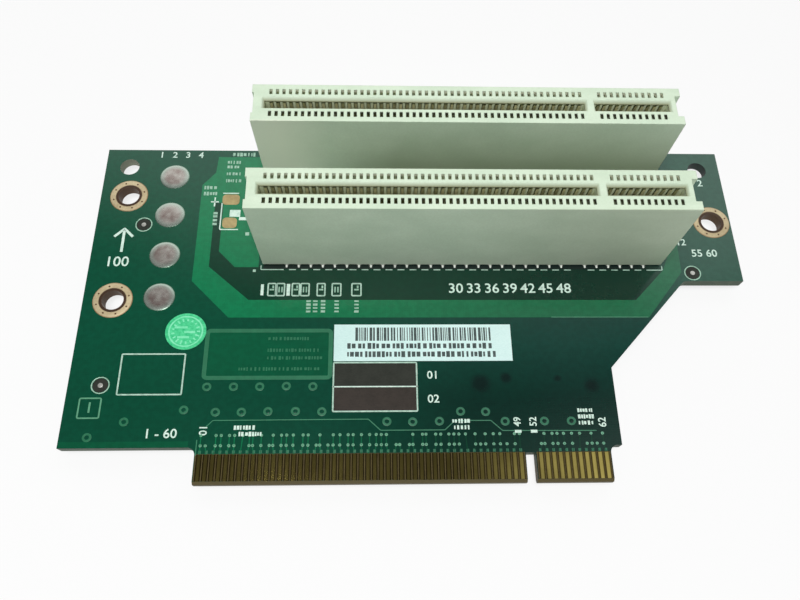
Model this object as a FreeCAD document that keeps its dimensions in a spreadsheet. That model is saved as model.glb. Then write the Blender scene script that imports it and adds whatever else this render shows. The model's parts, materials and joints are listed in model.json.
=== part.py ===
import FreeCAD, Part
import math
import os
import re

import Sketcher

# A riser board. A flat circuit board plugs into a card slot by the gold fingers on its
# tongue, and carries two card slots of its own. It lies with its slots up, on the tails of
# the slots' contacts. X runs along the slots, Y towards the rear edge and Z up from the
# tails' tips. The origin is under the middle of the board.

# How many contacts lie before and after the key, the same in both slots and on the tongue,
# and how many places in the row the key takes up.
COUNTS = {
    "contacts_before_key": 49,
    "contacts_after_key": 11,
    "key_positions": 2,
}

# All sizes are in millimetres.
SIZES = {
    "contact_pitch": 1.27,
    # moulded slot housings
    "slot_pitch": 20.32,
    "housing_end": 3.685,
    "housing_width": 9.1,
    "housing_height": 16.0,
    "end_groove_width": 5.1,
    "right_groove_depth": 1.15,
    "left_groove_depth": 0.35,
    "foot_height": 0.25,
    "foot_length": 2.8,
    "foot_side_gap": 0.6,
    "peg_diameter": 2.2,
    "peg_clearance": 0.1,
    "peg_past_board": 0.4,
    "card_slot_width": 1.8,
    "card_slot_depth": 8.4,
    "card_slot_end": 1.25,
    "lead_in_width": 3.0,
    "lead_in_depth": 0.45,
    "lead_in_end": 0.45,
    "key_rib_width": 2.1,
    "rim_thickness": 0.6,
    "chamber_width": 7.3,
    "spine_width": 1.4,
    "floor_thickness": 2.6,
    "window_length": 0.62,
    "window_width": 1.3,
    "window_row_spacing": 5.5,
    # stamped contacts
    "contact_width": 0.55,
    "contact_knee": 0.45,
    "contact_gap": 1.4,
    "knee_rise": 0.7,
    "tip_drop": 0.1,
    "inner_tail_row": 1.27,
    "outer_tail_row": 3.81,
    "tail_length": 1.5,
    # board outline
    "board_thickness": 1.6,
    "left_margin": 36.24,
    "right_margin": 17.52,
    "rear_margin": 0.79,
    "front_margin": 40.29,
    "arm_margin": 3.83,
    "slope_run": 18.2,
    "slope_drop": 20.15,
    "corner_radius": 1.5,
    # tongue and its fingers
    "tongue_length": 7.2,
    "tongue_shift": 13.2,
    "tongue_end": 0.95,
    "tongue_shoulder": 2.33,
    "key_notch_width": 1.95,
    "key_notch_depth": 5.8,
    "bevel_length": 0.6,
    "bevel_depth": 0.35,
    "finger_width": 1.02,
    "finger_length": 5.2,
    "copper_thickness": 0.06,
    # holes
    "tooling_hole": 4.2,
    "tooling_rear_inset": 4.77,
    "tooling_left_inset": 5.2,
    "tooling_right_inset": 5.06,
    "screw_hole": 4.6,
    "screw_left_inset": 6.04,
    "screw_right_inset": 4.3,
    "upper_screw_rise": 13.02,
    "lower_screw_drop": 13.02,
    "right_screw_rise": 6.63,
    # paper on the board
    "paper_thickness": 0.1,
    "label_length": 36.0,
    "label_width": 8.2,
    "label_left_inset": 15.3,
    "label_front_gap": 14.23,
    "sticker_diameter": 8.2,
    "sticker_left_inset": 21.66,
    "sticker_front_gap": 15.72,
}

# Places worked out from the sizes. Those of one slot count from its middle, at board level.
PLACES = {
    "slot_span": "(contacts_before_key + key_positions + contacts_after_key - 1) * contact_pitch",
    "housing_length": "slot_span + 2 * housing_end",
    "half_length": "housing_length / 2",
    "half_width": "housing_width / 2",
    "half_groove": "end_groove_width / 2",
    "first_contact": "-slot_span / 2",
    "to_key": "(contacts_before_key + (key_positions - 1) / 2) * contact_pitch",
    "past_key": "(contacts_before_key + key_positions) * contact_pitch",
    "left_foot": "left_groove_depth - half_length",
    "right_foot": "half_length - right_groove_depth",
    "left_peg": "left_foot + foot_length / 2",
    "right_peg": "right_foot - foot_length / 2",
    "rim_underside": "housing_height - rim_thickness",
    "board_width": "housing_length + left_margin + right_margin",
    "board_depth": "slot_pitch + housing_width + rear_margin + front_margin + tongue_length",
    "board_top": "tail_length + board_thickness",
    "left_edge": "-board_width / 2",
    "right_edge": "board_width / 2",
    "rear_edge": "board_depth / 2",
    "tongue_tip": "-board_depth / 2",
    "shoulder": "tongue_tip + tongue_length",
    "housing_left": "left_edge + left_margin",
    "slot_middle": "housing_left + half_length",
    "rear_slot": "rear_edge - rear_margin - half_width",
    "front_slot": "rear_slot - slot_pitch",
    "front_face": "front_slot - half_width",
    "first_finger": "slot_middle + first_contact - tongue_shift",
    "tongue_left": "first_finger - tongue_end",
    "tongue_right": "first_finger + slot_span + tongue_end",
    "notch_middle": "first_finger + to_key",
    "notch_top": "tongue_tip + key_notch_depth",
    "lower_right": "tongue_right + tongue_shoulder",
    "arm_edge": "front_face - arm_margin",
    "tooling_row": "rear_edge - tooling_rear_inset",
    "left_screws": "left_edge + screw_left_inset",
    "right_screw": "right_edge - screw_right_inset",
}

SCREW_HOLES = [
    ("left_screws", "front_slot + upper_screw_rise"),
    ("left_screws", "front_slot - lower_screw_drop"),
    ("right_screw", "front_slot + right_screw_rise"),
]
TOOLING_HOLES = [
    ("left_edge + tooling_left_inset", "tooling_row"),
    ("right_edge - tooling_right_inset", "tooling_row"),
]
HEXAGON = 6

CELLS = {**COUNTS, **SIZES}

doc = FreeCAD.newDocument("riser_board")
sheet = doc.addObject("Spreadsheet::Sheet", "Sizes")
for line, (name, value) in enumerate(CELLS.items(), start=1):
    sheet.set(f"A{line}", name)
    sheet.set(f"B{line}", str(value))
    sheet.setAlias(f"B{line}", name)
doc.recompute()


def formula(text):
    """Turn a formula in plain names into one that reads the sheet."""

    def read(match):
        word = match.group(0)
        if word in CELLS:
            return f"Sizes.{word}"
        if word in PLACES:
            return f"({formula(PLACES[word])})"
        return word

    return re.sub(r"[a-z_]+", read, text)


def bind(thing, **sizes):
    """Tie properties of an object to formulas."""
    for name, text in sizes.items():
        thing.setExpression(name, formula(text))


def put(thing, label, x="0", y="0", z="0"):
    """Name a sub-part and place it by formulas."""
    thing.Label = label
    for axis, text in zip("xyz", (x, y, z)):
        thing.setExpression(f".Placement.Base.{axis}", formula(text))
    return thing


def new_body(label, x="0", y="0", z="0"):
    return put(doc.addObject("PartDesign::Body", label), label, x, y, z)


def origin_part(body, role):
    return next(part for part in body.Origin.OriginFeatures if part.Role == role)


def new_sketch(body, name, plane="XY_Plane", lift="0"):
    """Start a sketch on one of a body's own planes, lifted off it by a formula."""
    sketch = body.newObject("Sketcher::SketchObject", name)
    sketch.AttachmentSupport = [(origin_part(body, plane), "")]
    sketch.MapMode = "FlatFace"
    sketch.setExpression(".AttachmentOffset.Base.z", formula(lift))
    return sketch


def pin(sketch, curve, point, x, y):
    """Fix a point of a sketch's curve at formulas for its two coordinates."""
    for kind, text in (("DistanceX", x), ("DistanceY", y)):
        index = sketch.addConstraint(Sketcher.Constraint(kind, -1, 1, curve, point, 1.0))
        sketch.setExpression(f"Constraints[{index}]", formula(text))


def draw_polygon(sketch, points):
    """Draw a closed outline whose corners sit at pairs of formulas."""
    count = len(points)
    first = sketch.GeometryCount
    turns = [2 * math.pi * corner / count for corner in range(count)]
    ring = [FreeCAD.Vector(math.cos(turn), math.sin(turn), 0) for turn in turns]
    for corner in range(count):
        sketch.addGeometry(Part.LineSegment(ring[corner], ring[(corner + 1) % count]))
    for corner in range(count):
        following = first + (corner + 1) % count
        sketch.addConstraint(Sketcher.Constraint("Coincident", first + corner, 2, following, 1))
    for corner, (x, y) in enumerate(points):
        pin(sketch, first + corner, 1, x, y)


def draw_rectangle(sketch, left, right, front, rear):
    draw_polygon(sketch, [(left, front), (right, front), (right, rear), (left, rear)])


def draw_circle(sketch, x, y, diameter):
    circle = sketch.addGeometry(Part.Circle(FreeCAD.Vector(0, 0, 0), FreeCAD.Vector(0, 0, 1), 1))
    pin(sketch, circle, 3, x, y)
    index = sketch.addConstraint(Sketcher.Constraint("Diameter", circle, 2.0))
    sketch.setExpression(f"Constraints[{index}]", formula(diameter))


def extrude(body, kind, name, sketch, length, side="One side", downwards=False):
    """Pad or pocket a sketch by a formula."""
    feature = body.newObject(f"PartDesign::{kind}", name)
    feature.Profile = sketch
    feature.SideType = side
    feature.Reversed = downwards
    bind(feature, Length=length)
    return feature


def repeat(body, name, feature, axis, spacing, count):
    """Repeat a feature in a row along one of its body's axes."""
    pattern = body.newObject("PartDesign::LinearPattern", name)
    pattern.Originals = [feature]
    pattern.Direction = (origin_part(body, axis), [""])
    bind(pattern, Length=f"({count} - 1) * {spacing}", Occurrences=count)
    body.Tip = pattern
    return pattern


def circuit_board():
    """The board: one outline with a tongue, drilled for screws, tooling pins and pegs."""
    body = new_body("circuit_board", z="tail_length")
    outline = new_sketch(body, "BoardOutline")
    inner_corners = [2, 9, 12]
    draw_polygon(
        outline,
        [
            ("left_edge", "rear_edge"),
            ("left_edge", "shoulder"),
            ("tongue_left", "shoulder"),
            ("tongue_left", "tongue_tip"),
            ("notch_middle - key_notch_width / 2", "tongue_tip"),
            ("notch_middle - key_notch_width / 2", "notch_top"),
            ("notch_middle + key_notch_width / 2", "notch_top"),
            ("notch_middle + key_notch_width / 2", "tongue_tip"),
            ("tongue_right", "tongue_tip"),
            ("tongue_right", "shoulder"),
            ("lower_right", "shoulder"),
            ("lower_right", "arm_edge - slope_drop"),
            ("lower_right + slope_run", "arm_edge"),
            ("right_edge", "arm_edge"),
            ("right_edge", "rear_edge"),
        ],
    )
    laminate = extrude(body, "Pad", "Laminate", outline, "board_thickness")
    doc.recompute()

    # the cutter leaves its own radius in each inner corner
    corners = [outline.Geometry[index].StartPoint for index in inner_corners]
    routed = body.newObject("PartDesign::Fillet", "RoutedCorners")
    routed.Base = (laminate, upright_edges(laminate.Shape, corners))
    bind(routed, Radius="corner_radius")

    drilled = new_sketch(body, "Drilled")
    for x, y in SCREW_HOLES:
        draw_circle(drilled, x, y, "screw_hole")
    for x, y in TOOLING_HOLES:
        draw_circle(drilled, x, y, "tooling_hole")
    for slot_row in ("front_slot", "rear_slot"):
        for peg in ("left_peg", "right_peg"):
            draw_circle(drilled, f"slot_middle + {peg}", slot_row, "peg_diameter + 2 * peg_clearance")
    extrude(body, "Pocket", "Holes", drilled, "board_thickness", downwards=True)

    bevel = new_sketch(body, "BevelOutline", plane="YZ_Plane")
    for face, sign in (("0", "+"), ("board_thickness", "-")):
        draw_polygon(
            bevel,
            [
                ("tongue_tip", face),
                ("tongue_tip + bevel_length", face),
                ("tongue_tip", f"{face} {sign} bevel_depth"),
            ],
        )
    extrude(body, "Pocket", "Bevel", bevel, "board_width", side="Symmetric")


def upright_edges(shape, corners):
    """Name the upright edges of a shape that stand on the given corners."""
    names = []
    for number, edge in enumerate(shape.Edges, start=1):
        low, high = edge.Vertexes[0].Point, edge.Vertexes[-1].Point
        upright = math.hypot(high.x - low.x, high.y - low.y) < 1e-6
        if upright and any(math.hypot(low.x - at.x, low.y - at.y) < 1e-6 for at in corners):
            names.append(f"Edge{number}")
    return names


def slot_housing(label, slot_row):
    """A moulded housing: a card slot with a key, over a chamber, under a rim of windows."""
    body = new_body(label, "slot_middle", slot_row, "board_top")

    block = new_sketch(body, "BlockOutline", lift="foot_height")
    draw_polygon(
        block,
        [
            ("-half_length", "-half_width"),
            ("half_length", "-half_width"),
            ("half_length", "-half_groove"),
            ("half_length - right_groove_depth", "-half_groove"),
            ("half_length - right_groove_depth", "half_groove"),
            ("half_length", "half_groove"),
            ("half_length", "half_width"),
            ("-half_length", "half_width"),
            ("-half_length", "half_groove"),
            ("left_groove_depth - half_length", "half_groove"),
            ("left_groove_depth - half_length", "-half_groove"),
            ("-half_length", "-half_groove"),
        ],
    )
    extrude(body, "Pad", "Block", block, "housing_height - foot_height")

    feet = new_sketch(body, "FeetOutline")
    foot_side = "half_width - foot_side_gap"
    draw_rectangle(feet, "left_foot", "left_foot + foot_length", f"-({foot_side})", foot_side)
    draw_rectangle(feet, "right_foot - foot_length", "right_foot", f"-({foot_side})", foot_side)
    extrude(body, "Pad", "Feet", feet, "foot_height")

    pegs = new_sketch(body, "PegOutline")
    for peg in ("left_peg", "right_peg"):
        turns = [2 * math.pi * corner / HEXAGON for corner in range(HEXAGON)]
        draw_polygon(
            pegs,
            [
                (
                    f"{peg} + peg_diameter / 2 * {math.cos(turn):.9f}",
                    f"peg_diameter / 2 * {math.sin(turn):.9f}",
                )
                for turn in turns
            ],
        )
    extrude(body, "Pad", "Pegs", pegs, "board_thickness + peg_past_board", downwards=True)

    # the key is a rib left standing between two cuts of one section, each with a lead-in
    key_middle = "(first_contact + to_key)"
    stretches = {
        "Long": ("(first_contact - card_slot_end)", f"({key_middle} - key_rib_width / 2)"),
        "Short": (f"({key_middle} + key_rib_width / 2)", "(slot_span / 2 + card_slot_end)"),
    }
    for name, (start, end) in stretches.items():
        section = new_sketch(body, f"{name}Section", plane="YZ_Plane", lift=f"({start} + {end}) / 2")
        draw_polygon(section, slot_section())
        extrude(body, "Pocket", f"{name}Slot", section, f"{end} - {start}", side="Symmetric")
        mouth = new_sketch(body, f"{name}Mouth", lift="housing_height")
        mouth_ends = (f"{start} - lead_in_end", f"{end} + lead_in_end")
        draw_rectangle(mouth, *mouth_ends, "-lead_in_width / 2", "lead_in_width / 2")
        throat = new_sketch(body, f"{name}Throat", lift="housing_height - lead_in_depth")
        draw_rectangle(throat, start, end, "-card_slot_width / 2", "card_slot_width / 2")
        lead_in = body.newObject("PartDesign::SubtractiveLoft", f"{name}LeadIn")
        lead_in.Profile = mouth
        lead_in.Sections = [throat]
        lead_in.Ruled = True

    groups = {"Long": ("0", "contacts_before_key"), "Short": ("past_key", "contacts_after_key")}
    for name, (offset, count) in groups.items():
        windows = new_sketch(body, f"{name}Windows", lift="housing_height")
        middle = f"first_contact + {offset}"
        for row in ("-window_row_spacing / 2", "window_row_spacing / 2"):
            draw_rectangle(
                windows,
                f"{middle} - window_length / 2",
                f"{middle} + window_length / 2",
                f"{row} - window_width / 2",
                f"{row} + window_width / 2",
            )
        window = extrude(body, "Pocket", f"{name}Window", windows, "rim_thickness")
        repeat(body, f"{name}WindowRow", window, "X_Axis", "contact_pitch", count)


def slot_section():
    """The hollow of a slot, seen along it: throat, chamber and the card's seat."""
    right_half = [
        ("card_slot_width / 2", "housing_height"),
        ("card_slot_width / 2", "rim_underside"),
        ("chamber_width / 2", "rim_underside"),
        ("chamber_width / 2", "foot_height + floor_thickness"),
        ("spine_width / 2", "foot_height + floor_thickness"),
        ("spine_width / 2", "housing_height - card_slot_depth"),
    ]
    left_half = [(f"-{y}", z) for y, z in reversed(right_half)]
    return right_half + left_half


def slot_contacts(label, slot_row, side, tail_row, groups):
    """One row of stamped contacts: a pointed tail, a knee in the floor and a leaning arm."""
    body = new_body(label, "slot_middle", slot_row, "board_top")
    for number, (offset, count) in enumerate(groups, start=1):
        lift = f"first_contact + {offset}"
        blade = new_sketch(body, f"Blade{number}", plane="YZ_Plane", lift=lift)
        draw_polygon(
            blade,
            [
                (f"{side} * {tail_row}", "-board_top"),
                (f"{side} * ({tail_row} + contact_knee / 2)", "foot_height + knee_rise"),
                (f"{side} * contact_gap / 2", "rim_underside - tip_drop"),
                (f"{side} * ({tail_row} - contact_knee / 2)", "foot_height + knee_rise"),
            ],
        )
        contact = extrude(body, "Pad", f"Contact{number}", blade, "contact_width", side="Symmetric")
        repeat(body, f"Row{number}", contact, "X_Axis", "2 * contact_pitch", count)


def edge_fingers(label, level, downwards):
    """The gold fingers of one face of the tongue, up to its bevel."""
    body = new_body(label, z=level)
    foot = "tongue_tip + bevel_length"
    groups = {"Long": ("0", "contacts_before_key"), "Short": ("past_key", "contacts_after_key")}
    for name, (offset, count) in groups.items():
        middle = f"first_finger + {offset}"
        outline = new_sketch(body, f"{name}Outline")
        draw_rectangle(
            outline,
            f"{middle} - finger_width / 2",
            f"{middle} + finger_width / 2",
            foot,
            f"{foot} + finger_length",
        )
        finger = extrude(body, "Pad", f"{name}Finger", outline, "copper_thickness", downwards=downwards)
        repeat(body, f"{name}Row", finger, "X_Axis", "contact_pitch", count)


def paper_label():
    label = doc.addObject("Part::Box", "paper_label")
    bind(label, Length="label_length", Width="label_width", Height="paper_thickness")
    put(
        label,
        "paper_label",
        "housing_left + label_left_inset",
        "front_face - label_front_gap - label_width",
        "board_top",
    )


def round_sticker():
    sticker = doc.addObject("Part::Cylinder", "round_sticker")
    bind(sticker, Radius="sticker_diameter / 2", Height="paper_thickness")
    put(
        sticker,
        "round_sticker",
        "left_edge + sticker_left_inset",
        "front_face - sticker_front_gap",
        "board_top",
    )


circuit_board()
# tails alternate between an inner and an outer row, and both start over at the key
TAIL_ROWS = {
    "inner": [
        ("0", "ceil(contacts_before_key / 2)"),
        ("past_key + contact_pitch", "floor(contacts_after_key / 2)"),
    ],
    "outer": [
        ("contact_pitch", "floor(contacts_before_key / 2)"),
        ("past_key", "ceil(contacts_after_key / 2)"),
    ],
}
for slot_name in ("front", "rear"):
    slot_housing(f"{slot_name}_slot_housing", f"{slot_name}_slot")
    for side_name, side_sign in (("near", "-1"), ("far", "1")):
        for tail_name, tail_groups in TAIL_ROWS.items():
            slot_contacts(
                f"{slot_name}_slot_{side_name}_{tail_name}_contacts",
                f"{slot_name}_slot",
                side_sign,
                f"{tail_name}_tail_row",
                tail_groups,
            )
edge_fingers("upper_edge_fingers", "board_top", False)
edge_fingers("lower_edge_fingers", "tail_length", True)
paper_label()
round_sticker()
doc.recompute()

for thing in doc.Objects:
    if "Invalid" in thing.State or "Error" in thing.State:
        raise RuntimeError(f"{thing.Label} did not build: {thing.State}")
sub_parts = [thing for thing in doc.Objects if thing.TypeId == "PartDesign::Body"]
sub_parts += [thing for thing in doc.Objects if thing.TypeId in ("Part::Box", "Part::Cylinder")]
for thing in sub_parts:
    if thing.Shape.isNull() or not thing.Shape.isValid():
        raise RuntimeError(f"{thing.Label} has no valid shape")

os.makedirs("parts", exist_ok=True)
for thing in sub_parts:
    thing.Shape.exportStep(f"parts/{thing.Label}.step")
    print(f"{thing.Label}: {len(thing.Shape.Solids)} solids, {thing.Shape.Volume:.2f} mm3")
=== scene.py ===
# %% [markdown]
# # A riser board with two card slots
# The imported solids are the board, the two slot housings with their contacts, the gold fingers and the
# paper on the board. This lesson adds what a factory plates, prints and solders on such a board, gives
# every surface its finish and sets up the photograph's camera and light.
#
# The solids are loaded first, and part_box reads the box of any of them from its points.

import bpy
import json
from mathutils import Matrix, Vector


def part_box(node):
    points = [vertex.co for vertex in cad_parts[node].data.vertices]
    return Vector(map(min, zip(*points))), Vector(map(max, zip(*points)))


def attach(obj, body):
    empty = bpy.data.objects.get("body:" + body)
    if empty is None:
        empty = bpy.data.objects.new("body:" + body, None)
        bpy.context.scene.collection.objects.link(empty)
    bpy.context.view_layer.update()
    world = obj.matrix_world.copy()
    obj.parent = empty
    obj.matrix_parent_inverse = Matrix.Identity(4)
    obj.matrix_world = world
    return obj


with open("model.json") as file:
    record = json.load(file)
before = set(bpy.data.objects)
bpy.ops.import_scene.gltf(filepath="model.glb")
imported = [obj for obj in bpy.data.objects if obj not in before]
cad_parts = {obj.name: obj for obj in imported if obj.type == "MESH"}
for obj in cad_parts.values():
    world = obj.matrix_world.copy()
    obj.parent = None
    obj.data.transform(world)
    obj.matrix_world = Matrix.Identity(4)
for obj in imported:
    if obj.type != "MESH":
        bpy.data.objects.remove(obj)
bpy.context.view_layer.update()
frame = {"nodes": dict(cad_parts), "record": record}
print("solids:", sorted(frame["nodes"]))

# %% Tools and levels
import json
import math
import random

import bmesh
import bpy
from mathutils import Matrix, Vector

MM = 0.001
scene = bpy.context.scene


def placed(name, data):
    """A new object in the scene, at the origin."""
    made = bpy.data.objects.new(name, data)
    scene.collection.objects.link(made)
    return made


def box_mm(node):
    """A solid's lowest and highest corners in millimetres."""
    low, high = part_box(node)
    return Vector(low) / MM, Vector(high) / MM


board_low, board_high = box_mm("circuit_board")
BOARD_BOTTOM, BOARD_TOP = board_low.z, board_high.z
print("board from", round(BOARD_BOTTOM, 3), "to", round(BOARD_TOP, 3), "mm")

# %% [markdown]
# ## Camera
# The photograph was taken from close by with a wide lens, a little to the left of the middle, and then cut
# to its frame. The place, turn and lens come from matching known lengths of the board, such as the pitch of
# the contacts and of the slots, to the picture. The cut is the lens shift.

# %% Camera
IMAGE_WIDTH = 800
FOCAL_PIXELS = 507.533
CUT_PIXELS = 160
SENSOR_WIDTH = 36.0
NEAR_LIMIT = 0.001
CAMERA_PLACE = (-7.124, -60.487, 95.614)
CAMERA_TURN = (15.776, -1.233, -0.803)
lens = bpy.data.cameras.new("camera")
lens.sensor_width = SENSOR_WIDTH
lens.lens = FOCAL_PIXELS * SENSOR_WIDTH / IMAGE_WIDTH
lens.shift_y = CUT_PIXELS / IMAGE_WIDTH
lens.clip_start = NEAR_LIMIT
camera = placed("camera", lens)
camera.location = Vector(CAMERA_PLACE) * MM
camera.rotation_euler = [math.radians(angle) for angle in CAMERA_TURN]
scene.camera = camera
scene.view_settings.view_transform = "Standard"
print("lens", round(lens.lens, 2), "mm")

# %% [markdown]
# ## Node trees as Python
# A finish is a tree of nodes. Wiring it by hand takes many lines, so one small class wraps an output
# socket and lets plus, minus and times add the Math nodes, and one method adds any other node.

# %% Wires
class Wire:
    """One output socket. Arithmetic on it adds Math nodes to its tree."""

    def __init__(self, tree, socket):
        self.tree = tree
        self.socket = socket

    def work(self, operation, first, second=0.0):
        return self.tree.node("ShaderNodeMath", {"operation": operation}, {0: first, 1: second})

    def __add__(self, other):
        return self.work("ADD", self, other)

    def __radd__(self, other):
        return self.work("ADD", other, self)

    def __sub__(self, other):
        return self.work("SUBTRACT", self, other)

    def __rsub__(self, other):
        return self.work("SUBTRACT", other, self)

    def __mul__(self, other):
        return self.work("MULTIPLY", self, other)

    def __rmul__(self, other):
        return self.work("MULTIPLY", other, self)

    def __gt__(self, other):
        return self.work("GREATER_THAN", self, other)

    def __lt__(self, other):
        return self.work("LESS_THAN", self, other)

    def __abs__(self):
        return self.work("ABSOLUTE", self)

    def lesser(self, other):
        return self.work("MINIMUM", self, other)


print("ready: Wire")

# %% Trees
class NodeTree:
    """A node tree that is filled by calls."""

    def __init__(self, tree):
        self.tree = tree

    def node(self, kind, settings=None, inputs=None, output=0):
        made = self.tree.nodes.new(kind)
        for name, value in (settings or {}).items():
            setattr(made, name, value)
        for key, value in (inputs or {}).items():
            if isinstance(value, Wire):
                self.tree.links.new(value.socket, made.inputs[key])
            else:
                made.inputs[key].default_value = value
        return Wire(self, made.outputs[output])

    def parts(self, wire):
        split = self.node("ShaderNodeSeparateXYZ", None, {0: wire}).socket.node
        return [Wire(self, socket) for socket in split.outputs]

    def blend(self, factor, first, second):
        return self.node("ShaderNodeMix", {"data_type": "RGBA"}, {0: factor, 6: first, 7: second}, 2)

    def ramp(self, value, low, high, start=0.0, end=1.0, kind="LINEAR"):
        settings = {"clamp": True, "interpolation_type": kind}
        return self.node("ShaderNodeMapRange", settings, {"Value": value, 1: low, 2: high, 3: start, 4: end})

    def noise(self, place, scale, detail=3.0):
        return self.node("ShaderNodeTexNoise", None, {"Vector": place, "Scale": scale, "Detail": detail})

    def wave(self, place, scale, direction):
        settings = {"bands_direction": direction}
        return self.node("ShaderNodeTexWave", settings, {"Vector": place, "Scale": scale}, "Fac")

    def stretched(self, place, scale):
        return self.node("ShaderNodeVectorMath", {"operation": "MULTIPLY"}, {0: place, 1: scale})

    def distance(self, place, spot):
        return self.node("ShaderNodeVectorMath", {"operation": "DISTANCE"}, {0: place, 1: spot}, "Value")

    def bump(self, height, strength, depth, normal=None):
        inputs = {"Height": height, "Strength": strength, "Distance": depth}
        if normal:
            inputs["Normal"] = normal
        return self.node("ShaderNodeBump", None, inputs)


print("ready: NodeTree")

# %% Colours and finishes
def paint(red, green, blue):
    """A colour as a screen shows it, 0 to 255, as the linear values that nodes use."""
    linear = []
    for value in (red, green, blue):
        share = value / 255
        linear.append(share / 12.92 if share <= 0.04045 else ((share + 0.055) / 1.055) ** 2.4)
    return (*linear, 1.0)


def between(value, low, high):
    """1 where a wire lies between two places in millimetres, and 0 elsewhere."""
    return (value > low * MM) * (value < high * MM)


def new_finish(name, **fixed):
    """A material with the values that are the same all over it: material, tree, shader, place."""
    material = bpy.data.materials.new(name)
    material.use_nodes = True
    tree = NodeTree(material.node_tree)
    shader = material.node_tree.nodes["Principled BSDF"]
    for label, value in fixed.items():
        shader.inputs[label.replace("_", " ")].default_value = value
    place = tree.node("ShaderNodeTexCoord", None, None, "Object")
    return material, tree, shader, place


def feed(tree, shader, **wires):
    """Joins wires to the shader's sockets."""
    for label, wire in wires.items():
        tree.tree.links.new(wire.socket, shader.inputs[label.replace("_", " ")])


print("ready: paint, between, new_finish, feed")

# %% [markdown]
# ## Solder mask
# The green of a board is a thin lacquer, the solder mask, over a laminate of glass cloth. It is lighter
# where copper lies under it, the cloth shows as a very fine weave, and handling has left dark smudges near
# the tongue. The sawn edge of the laminate is dull, and browner at the tongue. One picture of a board would
# be quicker, but nodes stay sharp close up. Two crossed waves make the weave, slow noise makes the lacquer's
# drift, and the height on the board tells its faces from the sawn edge. Places in a finish are in metres.

# %% Colour of the lacquer
GREEN_TURN, GREEN_DRIFT = (-0.05, 0.03), 0.05
FRONT_FADE, FRONT_ALONG = (-0.010, -0.022), (-0.02, 0.01, 0.15, 0.8)
ARM_FADE = (0.046, 0.060, 0.0, 0.5)
PAINTED_FRONT_SHADE, ARM_GREY, SMUDGE = (6, 38, 31), (66, 106, 88), (10, 24, 24)
SMUDGES = [(11.5, -18.6, 2.9), (16.6, -17.4, 1.9), (27.0, -17.6, 1.7), (33.6, -19.2, 2.8)]
SMUDGE_CORE, SMUDGE_STRENGTH, SMUDGE_DRIFT = 0.3, 0.75, 0.004


def lacquer_colour(tree, place, drift, left, right, shade):
    """Two greens from left to right, darkened to the front by painted shade, and greyed on the right arm."""
    x, y = tree.parts(place)[:2]
    green = tree.ramp(x + (drift - 0.5) * GREEN_DRIFT, *GREEN_TURN)
    colour = tree.blend(green, paint(*left), paint(*right))
    # Painted shade: the board darkens towards its front.
    front_shade_share = tree.ramp(y, *FRONT_FADE) * tree.ramp(x, *FRONT_ALONG)
    colour = tree.blend(front_shade_share * shade, colour, paint(*PAINTED_FRONT_SHADE))
    return tree.blend(tree.ramp(x, *ARM_FADE), colour, paint(*ARM_GREY))


def smudged(tree, place, drift, colour):
    """A colour with the smudges on it."""
    for spot_x, spot_y, reach in SMUDGES:
        far = tree.distance(place, (spot_x * MM, spot_y * MM, BOARD_TOP * MM))
        far = far + (drift - 0.5) * SMUDGE_DRIFT
        core = SMUDGE_CORE * reach * MM
        smudge = tree.ramp(far, reach * MM, core, 0.0, SMUDGE_STRENGTH, "SMOOTHSTEP")
        colour = tree.blend(smudge, colour, paint(*SMUDGE))
    return colour


print("lacquer with", len(SMUDGES), "smudges")

# %% Colour of the sawn edge
LAYER_WAVES, LAYER_SHARE, SPECK_SHARE = 1500.0, 0.5, 0.3
TONGUE_FADE = (-0.034, -0.036)
SAWN_DARK, SAWN_PALE, SAWN_TONGUE = (52, 72, 56), (82, 98, 74), (82, 72, 36)
BARREL_X, BARREL_Y, BARREL_REACH = 64.17, 34.08, 2.4
BARREL_LEFT, BARREL_RIGHT_SHADE = (150, 154, 136), (20, 40, 34)


def laminate_colour(tree, place, speck):
    """Layers of cloth, browner at the tongue, and the walls of the two tooling holes, the right one dark with
    painted shade.
    """
    x, y = tree.parts(place)[:2]
    layers = tree.wave(place, LAYER_WAVES, "Z") * LAYER_SHARE + speck * SPECK_SHARE
    colour = tree.blend(layers, paint(*SAWN_DARK), paint(*SAWN_PALE))
    colour = tree.blend(tree.ramp(y, *TONGUE_FADE), colour, paint(*SAWN_TONGUE))
    in_barrel = between(abs(x), BARREL_X - BARREL_REACH, BARREL_X + BARREL_REACH)
    in_barrel = in_barrel * between(y, BARREL_Y - BARREL_REACH, BARREL_Y + BARREL_REACH)
    # The right hole's wall is dark with painted shade; the left one is pale as the bare cloth.
    barrel = tree.blend(x > 0.0, paint(*BARREL_LEFT), paint(*BARREL_RIGHT_SHADE))
    return tree.blend(in_barrel, colour, barrel)


print("sawn edge with tooling holes at", BARREL_X, "mm to each side")

# %% Solder mask finishes
DRIFT_SCALE, SPECK_SCALE, SPECK_SPAN, WEAVE_WAVES = 45.0, 900.0, (0.42, 0.60), 620.0
GRIME, GRIME_SHARE, SPECK_DARK, WEAVE_DARK = (4, 14, 12), 0.8, 0.14, 0.06
SAWN_ROUGH, DRIFT_ROUGH = 0.4, 0.1
WEAVE_BUMP, WEAVE_DEPTH = 0.1, 0.00002
FACE_SKIN = 0.004


# The shade argument sets how strong the painted shade at the board's front is.
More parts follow.
